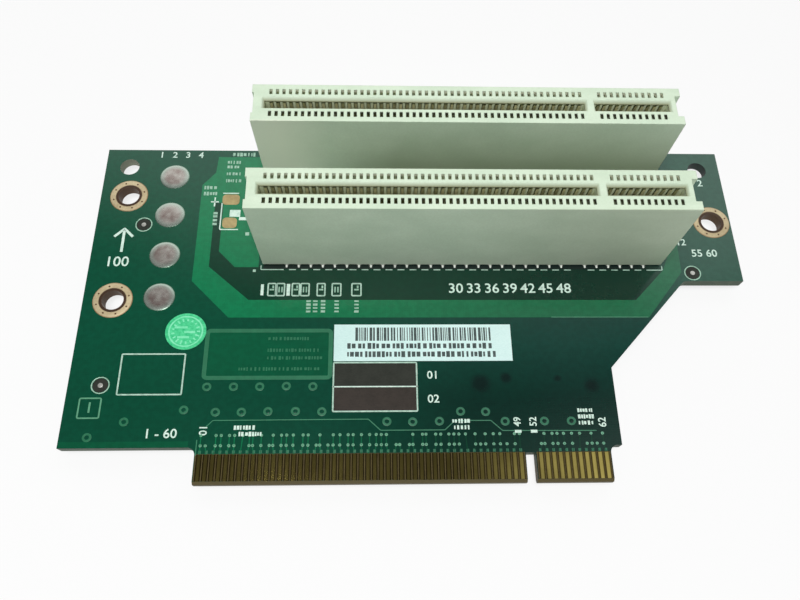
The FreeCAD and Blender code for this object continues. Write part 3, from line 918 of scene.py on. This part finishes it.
# %% Ring vias
ring_places = [
    (-42.4, -19.2), (-37.2, -19.2), (-32.1, -19.2), (-26.9, -19.1), (-21.7, -19.2), (-46.4, -24.0),
    (-40.3, -24.5), (-35.3, -24.5), (-30.2, -24.4), (-24.9, -24.4), (-19.8, -24.5), (-57.5, -26.4),
    (-64.0, -29.5), (-7.2, -26.6), (-2.2, -26.7), (3.0, -26.6), (7.2, -24.6), (12.1, -24.7), (15.8, -26.7),
    (23.5, -26.7), (28.8, -26.7),
]
ring_spots = on_top(ring_places) + on_bottom(ring_places)
ring_via = [(0.9, -SUNK), (0.9, 0.03), (0.82, 0.045), (0.42, 0.045), (0.36, 0.02), (0, 0.02)]
set_out("ring_vias", turned(ring_via, segments=20), ring_spots, ring_mask)
middle_disc = [(0.46, 0.0), (0.46, 0.044), (0.44, 0.048), (0, 0.048)]
set_out("via_middles", turned(middle_disc, segments=14), ring_spots, board_mask)

# %% Thin traces and a painted highlight
THIN_WIDTH = 0.16
thin_traces = [
    [(-43.3, -33.2), (-43.3, -30.1)],
    [(-42.0, -27.7), (-40.6, -26.2), (-10.8, -26.1), (-8.4, -28.4), (4.0, -28.4), (6.0, -26.5),
     (13.0, -26.5), (15.2, -28.6), (33.5, -28.7)],
    # A pale line along the copper path's lower edge: a painted highlight.
    [(27.0, -3.85), (47.4, -3.85)],
]
lay_lines("thin_traces", thin_traces, THIN_WIDTH, TRACE, pale_mask, corner=0.4)

# %% [markdown]
# ## Lands and pads
# Around each screw hole the copper is bare and plated, so that the screw head earths the board, and the
# plating goes on down the hole. A ring of tiny vias ties each land to the inner layers. Four round pads on
# the left are covered in tin, which stands in a low dome. All of these are round, so they are turned from
# profiles. Two bare pads beside the front slot wait for a part that isn't fitted. They are flat plates.

# %% Lands of the screw holes
LAND_RADIUS, LAND_BEVEL, LAND_LIFT = 4.1, 0.1, 0.05
PLATING, PLATING_GAP = 0.06, 0.01
mounts = {mount["name"]: mount for mount in frame["record"]["mounts"]}
left_pair = mounts["left_screw_holes"]
left_spot = Vector(left_pair["pos_m"]) / MM
right_spot = Vector(mounts["right_screw_hole"]["pos_m"]) / MM
half_apart = left_pair["dims"]["spacing_y_mm"] / 2
screw_holes = [(left_spot.x, left_spot.y + side * half_apart) for side in (1, -1)]
screw_holes.append((right_spot.x, right_spot.y))
hole_radius = left_pair["dims"]["hole_r_mm"]
bore, wall, edge = hole_radius - PLATING, hole_radius - PLATING_GAP, LAND_RADIUS - LAND_BEVEL
land_profile = [
    (bore, BOARD_BOTTOM - LAND_LIFT), (edge, BOARD_BOTTOM - LAND_LIFT),
    (LAND_RADIUS, BOARD_BOTTOM + SUNK), (wall, BOARD_BOTTOM + SUNK),
    (wall, BOARD_TOP - SUNK), (LAND_RADIUS, BOARD_TOP - SUNK),
    (edge, BOARD_TOP + LAND_LIFT), (bore, BOARD_TOP + LAND_LIFT),
]
land = turned(land_profile, segments=56, closed=True)
land_places = [((x, y, 0.0), WHOLE, UPRIGHT) for x, y in screw_holes]
set_out("screw_lands", land, land_places, land_gold)

# %% Tiny vias in the lands
LAND_VIAS, VIA_CIRCLE, FIRST_STEP = 8, 3.35, 0.4
PIN_LIFT, PIN_BEVEL = LAND_LIFT + 0.015, 0.005
land_vias = []
for x, y in screw_holes:
    for step in range(LAND_VIAS):
        angle = 2 * math.pi * (step + FIRST_STEP) / LAND_VIAS
        land_vias.append((x + VIA_CIRCLE * math.cos(angle), y + VIA_CIRCLE * math.sin(angle)))
pin_via = [(0.2, 0.0), (0.2, PIN_LIFT - PIN_BEVEL), (0.16, PIN_LIFT), (0, PIN_LIFT)]
pin_via = turned(pin_via, segments=10)
set_out("land_vias", pin_via, on_top(land_vias) + on_bottom(land_vias), bare_copper)

# %% Round pads
PAD_COUNT, PAD_STEP = 4, 10.16
FIRST_PAD = (-53.87, 31.38)
round_pads = [(FIRST_PAD[0], FIRST_PAD[1] - index * PAD_STEP) for index in range(PAD_COUNT)]
dome = [(3.22, -SUNK), (3.2, 0.03), (3.0, 0.09), (2.6, 0.125), (1.8, 0.15), (0.9, 0.165), (0, 0.17)]
set_out("round_pads", turned(dome, segments=48), on_top(round_pads), pad_tin)

# %% Pads for a part that isn't fitted
CHIP_PAD = layer(0.07)
chip_pads = [rounded(-41.0, 25.3, 3.7, 2.7, corner=0.8), rounded(-40.9, 19.2, 3.1, 2.7, corner=0.8)]
keep("chip_pads", plate(chip_pads, CHIP_PAD), chip_gold)

# %% [markdown]
# ## White print
# The print tells the fitter where parts go. It lies on top of the mask. Nodes could paint it, but a thin
# strip or block of its own keeps every line sharp. Plain numbers count the contacts, and rows of small
# blocks, as wide as a seeded dice gives, fill the rest.

# %% Aiming marks
PRINT = layer(0.05)
aim_spots = on_top([(-59.15, 18.7), (-63.0, -18.8), (58.6, 6.8)])
aim_ring = [(1.8, -SUNK), (1.8, 0.04), (1.76, 0.05), (1.62, 0.05), (1.58, 0.04), (1.58, -SUNK)]
aim_disc = [(1.5, -SUNK), (1.5, 0.008), (0, 0.008)]
aim_dot = [(0.5, -SUNK), (0.5, 0.04), (0.42, 0.06), (0, 0.065)]
set_out("aim_rings", turned(aim_ring, segments=40, closed=True), aim_spots, faint_ink)
set_out("aim_discs", turned(aim_disc, segments=40), aim_spots, dark_ink)
set_out("aim_dots", turned(aim_dot, segments=20), aim_spots, solder)

# %% Frames, arrow and write-on fields
WRITE_ON = layer(0.035)
FRAME_LINE, ARROW_LINE, PRINT_LINE = 0.3, 0.56, 0.26
blocks("upper_write_on_field", [(-9.4, -16.7, 16.4, 4.9)], WRITE_ON, dark_ink)
blocks("lower_write_on_field", [(-9.4, -21.9, 16.4, 5.0)], WRITE_ON, brown_ink)
frames = [frame_path(-17.7, -1.2, -24.5, -14.1), frame_path(-59.6, -47.2, -20.8, -12.1)]
lay_lines("print_frames", frames, FRAME_LINE, PRINT, soft_ink, loops=True)
arrow = [
    [(-63.05, 11.8), (-63.05, 17.2)],
    [(-65.0, 15.6), (-63.05, 17.6), (-61.1, 15.6)],
]
lay_lines("arrow", arrow, ARROW_LINE, PRINT, white_ink, corner=0.1)
print_lines = [
    [(-42.9, 24.4), (-42.9, 17.5), (-39.0, 17.5)],
    [(-42.9, 27.0), (-39.4, 27.0)],
    [(-17.9, -19.3), (-1.0, -19.3)],
]
lay_lines("print_lines", print_lines, PRINT_LINE, PRINT, white_ink)

# %% Small framed places
FRAME_FRONT, FRAME_REAR = 1.2, 4.1
MARK_Y = (FRAME_FRONT + FRAME_REAR) / 2
PAIR_OFFSET, PAIR_SIZE = 0.3, (0.28, 1.3)
BAR_SIZE, DOT_SIZE, DOT_OFFSET = (0.9, 0.34), (0.35, 0.6), (0.25, 0.65)
small_pairs = [
    (-31.7, -30.1), (-29.9, -28.3), (-26.7, -25.2), (-24.9, -23.2), (-21.5, -19.9), (-18.4, -16.6),
    (-14.3, -12.4),
]
small_frames = [frame_path(left, right, FRAME_FRONT, FRAME_REAR) for left, right in small_pairs]
lay_lines("small_frames", small_frames, FRAME_LINE, PRINT, soft_ink, loops=True)
inner_marks = []
for index, (left, right) in enumerate(small_pairs):
    x = (left + right) / 2
    if index % 2:
        inner_marks += [(x + side * PAIR_OFFSET, MARK_Y, *PAIR_SIZE) for side in (-1, 1)]
    else:
        inner_marks.append((x, MARK_Y, *BAR_SIZE))
        inner_marks.append((x + DOT_OFFSET[0], MARK_Y + DOT_OFFSET[1], *DOT_SIZE))
blocks("frame_marks", inner_marks, PRINT, faint_ink)

# %% Rows of print
ROW_MARGIN = 0.3
BLOCK_WIDTHS, BLOCK_HEIGHTS, GAP_SHARES = (0.25, 0.6), (0.7, 1.0), (0.7, 0.7, 1.6)
MARK_COLUMNS, MARK_WIDTH, MARK_HEIGHTS = (-23.2, -21.8, -20.2, -17.4, -13.3), 0.9, (0.35, 0.55)
print_blocks = [
    (-39.9, 21.7, 2.3, 1.8), (-38.0, 20.3, 1.9, 0.8), (-44.5, 24.7, 1.7, 0.3), (-44.5, 24.7, 0.3, 2.4),
    (-32.9, 2.6, 0.6, 2.6), (-27.5, 2.6, 0.7, 2.8), (18.2, -28.8, 1.3, 0.6), (21.3, -28.8, 1.3, 0.6),
]
blocks("print_blocks", print_blocks, PRINT, white_ink)


def block_rows(rows, height, gap):
    """Rows of small blocks, each row from (start, end, y), as wide as the dice gives."""
    made = []
    for x, end, y in rows:
        while x < end - ROW_MARGIN:
            width = dice.uniform(*BLOCK_WIDTHS) * height
            made.append((x + width / 2, y, width, height * dice.uniform(*BLOCK_HEIGHTS)))
            x += width + gap * dice.choice(GAP_SHARES)
    return made


mark_rows = block_rows([(-42.5, -39.3, y) for y in (35.5, 34.2, 32.3, 30.4)], height=0.9, gap=0.25)
mark_rows += block_rows([(-47.1, -44.0, y) for y in (28.5, 26.9)], height=1.0, gap=0.25)
for x in MARK_COLUMNS:
    mark_rows += [(x, y, MARK_WIDTH, dice.uniform(*MARK_HEIGHTS)) for y in (-2.5, -1.7, -0.9, -0.1)]
mark_rows += block_rows([(-41.5, -36.2, 37.7)], height=1.1, gap=0.25)
mark_rows += [(-44.1, y, 0.9, 0.6) for y in (18.9, 19.9, 20.9, 21.7)]
mark_rows += [(-36.9, 16.4, 0.8, 0.8), (-34.8, 7.2, 0.6, 0.6)]
blocks("print_rows", mark_rows, PRINT, faint_ink)
dense = [(-36.5, -32.5, -27.7), (-35.5, -31.0, -29.0), (5.5, 9.0, -26.6), (5.8, 9.3, -27.9)]
dense += [(30.2, 33.4, y) for y in (-24.5, -25.8, -27.1)]
blocks("dense_rows", block_rows(dense, height=0.9, gap=0.2), PRINT, white_ink)
faint = [(-31.0, -22.5, -8.7), (-31.0, -20.5, -11.3), (-31.0, -20.0, -13.0), (-36.5, -20.5, -15.4)]
blocks("panel_rows", block_rows(faint, height=0.8, gap=0.3), TRACE, ring_mask)

# %% Slot outline
OUTLINE_GAP, OUTLINE_LINE = 1.15, 0.2
DASH_GAP, END_GAP, END_HOOK = 0.55, 0.6, 1.0
LEFT_REACH, RIGHT_REACH = 0.4, 0.3
CONTACT_WIDTH = 0.55
contact_low = box_mm("front_slot_near_inner_contacts")[0]
FIRST_CONTACT = contact_low.x + CONTACT_WIDTH / 2
outer_tails = [FIRST_CONTACT + index * PITCH for index in contact_places if index % 2]
line_y = front_low.y - OUTLINE_GAP
left_end, right_end = front_low.x - LEFT_REACH, front_high.x + RIGHT_REACH
dashes = [[(left_end, line_y + END_HOOK), (left_end, line_y), (outer_tails[0] - END_GAP, line_y)]]
for x in outer_tails[:-1]:
    dashes.append([(x + DASH_GAP, line_y), (x + 2 * PITCH - DASH_GAP, line_y)])
dashes.append([(outer_tails[-1] + END_GAP, line_y), (right_end, line_y), (right_end, line_y + END_HOOK)])
lay_lines("slot_outline", dashes, OUTLINE_LINE, PRINT, soft_ink, corner=0.1)

# %% Numbers
NUMBER_HALF_THICK, NUMBER_SPREAD, EM_SHARE = 0.02, 0.03, 1.4
COUNTED = (30, 33, 36, 39, 42, 45, 48)


def number(text, x, y, height, turn):
    """A plain number as a flat mesh on the board."""
    words = bpy.data.curves.new("number", "FONT")
    words.body = text
    words.size = height * EM_SHARE * MM
    words.extrude = NUMBER_HALF_THICK * MM
    words.offset = NUMBER_SPREAD * MM
    words.resolution_u = 3
    words.align_x = "CENTER"
    words.align_y = "CENTER"
    holder = placed("number", words)
    mesh = as_mesh(holder)
    bpy.data.objects.remove(holder)
    spot = Matrix.Translation(Vector((x, y, BOARD_TOP + NUMBER_HALF_THICK)) * MM)
    mesh.transform(spot @ Matrix.Rotation(math.radians(turn), 4, "Z"))
    return mesh


# Each number has a place, a height and a turn in degrees.
numbers = [(str(count), FIRST_CONTACT + (count - 1) * PITCH, 2.9, 2.3, 0) for count in COUNTED]
numbers += [(str(index + 1), -57.3 + index * 2.9, 37.4, 1.6, 0) for index in range(4)]
numbers += [("100", -63.6, 9.3, 2.4, 0), ("1 - 60", -50.3, -28.9, 1.9, 0)]
numbers += [("01", -42.2, -28.2, 1.5, 90), ("49", 18.2, -26.8, 1.4, 90), ("52", 21.3, -26.8, 1.4, 90)]
numbers += [("62", 34.9, -27.0, 1.5, 90), ("55 60", 62.0, 11.7, 1.8, 0), ("2", 64.3, 30.4, 1.8, 0)]
numbers += [("01", 2.0, -16.9, 1.7, 0), ("02", 2.0, -22.0, 1.7, 0), ("12", 57.3, 14.5, 1.6, 0)]
keep("print_numbers", joined([number(*line) for line in numbers]), white_ink)
keep("box_number", number("1", -64.45, -23.55, 2.2, 0), dot_mask)

# %% [markdown]
# ## Label and sticker
# The long label carries bars and rows of small blocks, and the round sticker a paler ring with short strokes.
# Nodes could paint them too, but slabs set out by the tree stay sharp. They say nothing: a seeded dice
# gives the widths of the bars and the blocks.

# %% Label bars
INK_SUNK, INK_LIFT = 0.005, 0.012
BAR_UNIT, BAR_DROP, BAR_HEIGHT, BAR_MARGIN = 0.18, 2.2, 3.0, 4.3
BAR_WIDTHS, BAR_GAPS = (1, 1, 2, 3), (1, 1, 2)
ROW_LEFT, ROW_RIGHT, ROW_DROPS = 2.7, 3.6, (4.85, 6.7)
label_low, label_high = box_mm("paper_label")
bars = []
x = label_low.x + BAR_MARGIN
while x < label_high.x - BAR_MARGIN:
    width = BAR_UNIT * dice.choice(BAR_WIDTHS)
    bars.append((x + width / 2, label_high.y - BAR_DROP, width, BAR_HEIGHT))
    x += width + BAR_UNIT * dice.choice(BAR_GAPS)
row_ends = (label_low.x + ROW_LEFT, label_high.x - ROW_RIGHT)
label_rows = [(*row_ends, label_high.y - drop) for drop in ROW_DROPS]
bars += block_rows(label_rows, height=1.35, gap=0.32)
blocks("label_bars", bars, (label_high.z - INK_SUNK, label_high.z + INK_LIFT), label_ink)

# %% Sticker marks
TICKS, TICK_CIRCLE, TICK_WIDTH, TICK_LENGTHS = 17, 2.55, 0.34, (0.4, 0.9)
RING_OUTER, RING_INNER = 3.5, 3.2
sticker_low, sticker_high = box_mm("round_sticker")
middle = (sticker_low + sticker_high) / 2
ring_profile = [(RING_OUTER, -INK_SUNK), (RING_OUTER, INK_LIFT)]
ring_profile += [(RING_INNER, INK_LIFT), (RING_INNER, -INK_SUNK)]
sticker_ring = turned(ring_profile, segments=40, closed=True)
sticker_place = [((middle.x, middle.y, sticker_high.z), WHOLE, UPRIGHT)]
set_out("sticker_ring", sticker_ring, sticker_place, sticker_mark)
ticks = []
for step in range(TICKS):
    angle = 2 * math.pi * step / TICKS
    x = middle.x + TICK_CIRCLE * math.cos(angle)
    y = middle.y + TICK_CIRCLE * math.sin(angle)
    size = (dice.uniform(*TICK_LENGTHS) * MM, TICK_WIDTH * MM, (INK_SUNK + INK_LIFT) * MM)
    ticks.append(((x, y, sticker_high.z - INK_SUNK), size, (0.0, 0.0, angle)))
set_out("sticker_ticks", slab(), ticks, sticker_mark)
strokes = [(-1.0, 0.9, 2.6, 0.5), (0.8, -0.15, 2.2, 0.5), (-0.4, -1.3, 2.4, 0.5)]
strokes = [(middle.x + x, middle.y + y, width, height) for x, y, width, height in strokes]
blocks("sticker_strokes", strokes, (sticker_high.z - INK_SUNK, sticker_high.z + INK_LIFT), sticker_mark)

# %% [markdown]
# ## Ribs in the slots
# Inside each housing a thin rib of plastic stands between one contact and the next, from the floor up to the
# rim, so that a bent contact can't touch its neighbour. Seen through the slot they look like a comb. An array
# modifier would put a rib in the key, so the tree sets one rib with rounded edges out at the places that
# need it, along both sides of both slots. A thicker one closes each end.

# %% Ribs between the contacts
RIB_THICK, END_RIB_THICK, RIB_CORNER = 0.55, 0.91, 0.12
RIB_INNER, RIB_OUTER = 0.92, 3.7
RIB_LEVELS = (CHAMBER_FLOOR - MARGIN, SLOT_TOP - RIM + MARGIN)
END_RIB_GAP = 0.82
RIB_END_STEP = END_RIB_GAP / PITCH
steps = [index + 0.5 for index in range(PLACE_COUNT - 1) if index + 0.5 != sum(KEY_PLACES) / 2]
rib_steps = [(step, 1.0) for step in steps]
rib_steps += [(step, END_RIB_THICK / RIB_THICK) for step in (-RIB_END_STEP, PLACE_COUNT - 1 + RIB_END_STEP)]
rib = plate([rounded(0, 0, RIB_THICK, RIB_OUTER - RIB_INNER, RIB_CORNER, steps=2)], RIB_LEVELS)
ribs = []
for row in SLOT_ROWS:
    for side in (-1, 1):
        rib_y = row + side * (RIB_INNER + RIB_OUTER) / 2
        for step, wider in rib_steps:
            ribs.append(((FIRST_CONTACT + step * PITCH, rib_y, 0.0), (wider, 1.0, 1.0), UPRIGHT))
set_out("slot_ribs", rib, ribs, plastic)

# %% [markdown]
# ## Solder joints
# Every contact's tail goes through the board and is soldered into a plated hole. Above, the pads of the outer
# row reach out from under the housing as bright tabs. Below, the solder climbs each tail in a small cone.
# There are hundreds of joints, so each is turned with few faces and set out by the tree.

# %% Joints on the tails
INNER_ROW, OUTER_ROW = 1.27, 3.81
TAB = layer(0.06)
TAB_END, TAB_WIDTH, TAB_CORNER = 5.2, 0.42, 0.2
tails = []
tabs = []
for row in SLOT_ROWS:
    for index in contact_places:
        reach = OUTER_ROW if index % 2 else INNER_ROW
        x = FIRST_CONTACT + index * PITCH
        tails += [(x, row - reach), (x, row + reach)]
    for x in outer_tails:
        for side in (-1, 1):
            tab_y = row + side * (OUTER_ROW + TAB_END) / 2
            tabs.append(rounded(x, tab_y, TAB_WIDTH, TAB_END - OUTER_ROW, TAB_CORNER))
cone = [(0.78, -SUNK), (0.76, 0.03), (0.52, 0.12), (0.36, 0.5), (0.3, 0.85), (0, 0.9)]
ring = [(0.85, -SUNK), (0.82, 0.03), (0.5, 0.1), (0.36, 0.16), (0, 0.16)]
set_out("solder_cones", turned(cone, segments=8), on_bottom(tails), solder)
set_out("solder_rings", turned(ring, segments=10), on_top(tails), solder)
keep("solder_tabs", plate(tabs, TAB), tab_tin)

# %% [markdown]
# ## Traces underneath
# The photograph doesn't show the underside, so its traces are laid out in the plainest way that works. Finger
# by finger a trace runs up to the same contact of the front slot and on to the rear slot, so none of them
# cross. Where a ring via is in the way the trace stays short, as its signal goes on in another layer.

# %% Traces underneath
SLANT_START = -12.0
VIA_CLEARANCE = 1.15
TRACE_BELOW = (BOARD_BOTTOM - 0.03, BOARD_BOTTOM + SUNK)
via_columns = [x for x, y in ring_places]
lower_traces = []
for index in contact_places:
    start_x = FIRST_FINGER + index * PITCH
    end_x = FIRST_CONTACT + index * PITCH
    reach = OUTER_ROW if index % 2 else INNER_ROW
    path = [(start_x, finger_high.y - FINGER_OVERLAP)]
    if all(abs(via_x - start_x) > VIA_CLEARANCE for via_x in via_columns):
        path += [(start_x, SLANT_START), (end_x, SLANT_START + end_x - start_x)]
        path.append((end_x, SLOT_ROWS[0] - reach))
    else:
        path.append((start_x, finger_high.y + VIA_ROWS[1]))
    lower_traces += [path, [(end_x, SLOT_ROWS[0] + reach), (end_x, SLOT_ROWS[1] - reach)]]
lay_lines("lower_traces", lower_traces, TRACE_WIDTH, TRACE_BELOW, copper_mask, corner=0.6)

# %% [markdown]
# ## Floor and light
# The board lies on a white table. A wide soft lamp stands above and a little in front, so the slots' front
# faces get light as well as their tops. The room is dark overhead and bright behind, with a window low on the
# right, which is why the gold lights up only at its right end. More lamps could do that, but they would add
# shadows, so the world's nodes do. The floor is white to the camera and to reflections, and takes the shadow.

# %% Floor
FLOOR_SIZE = 3.0
FLOOR_GREY = (0.86, 0.86, 0.86, 1.0)
FLOOR_GLOW = 0.8
bpy.ops.mesh.primitive_plane_add(size=FLOOR_SIZE, location=(0, 0, 0))
floor = bpy.context.active_object
floor.name = "floor"
floor_finish, tree, shader, place = new_finish("floor_finish", Roughness=0.9, Base_Color=FLOOR_GREY)
rays = tree.node("ShaderNodeLightPath").socket.node
seen = Wire(tree, rays.outputs["Is Camera Ray"]) + Wire(tree, rays.outputs["Is Glossy Ray"])
seen = seen + Wire(tree, rays.outputs["Is Transmission Ray"])
glow = tree.node("ShaderNodeEmission", None, {"Color": (1.0, 1.0, 1.0, 1.0), "Strength": 1.0})
surface = Wire(tree, shader.outputs["BSDF"])
mixed = tree.node("ShaderNodeMixShader", None, {0: seen * FLOOR_GLOW, 1: surface, 2: glow})
tree.tree.links.new(mixed.socket, floor_finish.node_tree.nodes["Material Output"].inputs["Surface"])
floor.data.materials.append(floor_finish)
print("floor", FLOOR_SIZE, "m wide")

# %% Lamp and room
LAMP_DIRECTION = Vector((-0.1, -0.26, 0.96)).normalized()
LAMP_DISTANCE = 0.7
LAMP_SIZE = 0.45
LAMP_WATTS = 4.4
DARK_ROOM, BRIGHT_ROOM, WINDOW_LIGHT = 0.07, 0.95, 0.58
REAR_WALL, WALL_TURN = (0.47, 0.66), 0.15
WINDOW_SIDE, WINDOW_REAR, WINDOW_FRONT = (0.15, 0.42), (0.36, 0.26), (0.02, 0.14)
ROOM_TINT = (0.97, 1.0, 0.98, 1.0)
light = bpy.data.lights.new("soft_lamp", "AREA")
light.size = LAMP_SIZE
light.energy = LAMP_WATTS
lamp = placed("soft_lamp", light)
lamp.location = LAMP_DIRECTION * LAMP_DISTANCE
lamp.rotation_euler = (-LAMP_DIRECTION).to_track_quat("-Z", "Y").to_euler()

world = bpy.data.worlds.new("room")
world.use_nodes = True
room = NodeTree(world.node_tree)
direction = room.node("ShaderNodeTexCoord", None, None, "Generated")
to_right, to_rear = room.parts(direction)[:2]
bright = room.ramp(to_rear + to_right * WALL_TURN, *REAR_WALL, DARK_ROOM, BRIGHT_ROOM, "SMOOTHSTEP")
window = room.ramp(to_right, *WINDOW_SIDE) * room.ramp(to_rear, *WINDOW_REAR)
window = window * room.ramp(to_rear, *WINDOW_FRONT)
bright = bright + window * WINDOW_LIGHT
seen = room.node("ShaderNodeLightPath", None, None, "Is Camera Ray")
bright = bright * (1 - seen) + seen
background = world.node_tree.nodes["Background"]
background.inputs["Color"].default_value = ROOM_TINT
world.node_tree.links.new(bright.socket, background.inputs["Strength"])
scene.world = world
print("lamp and room set")
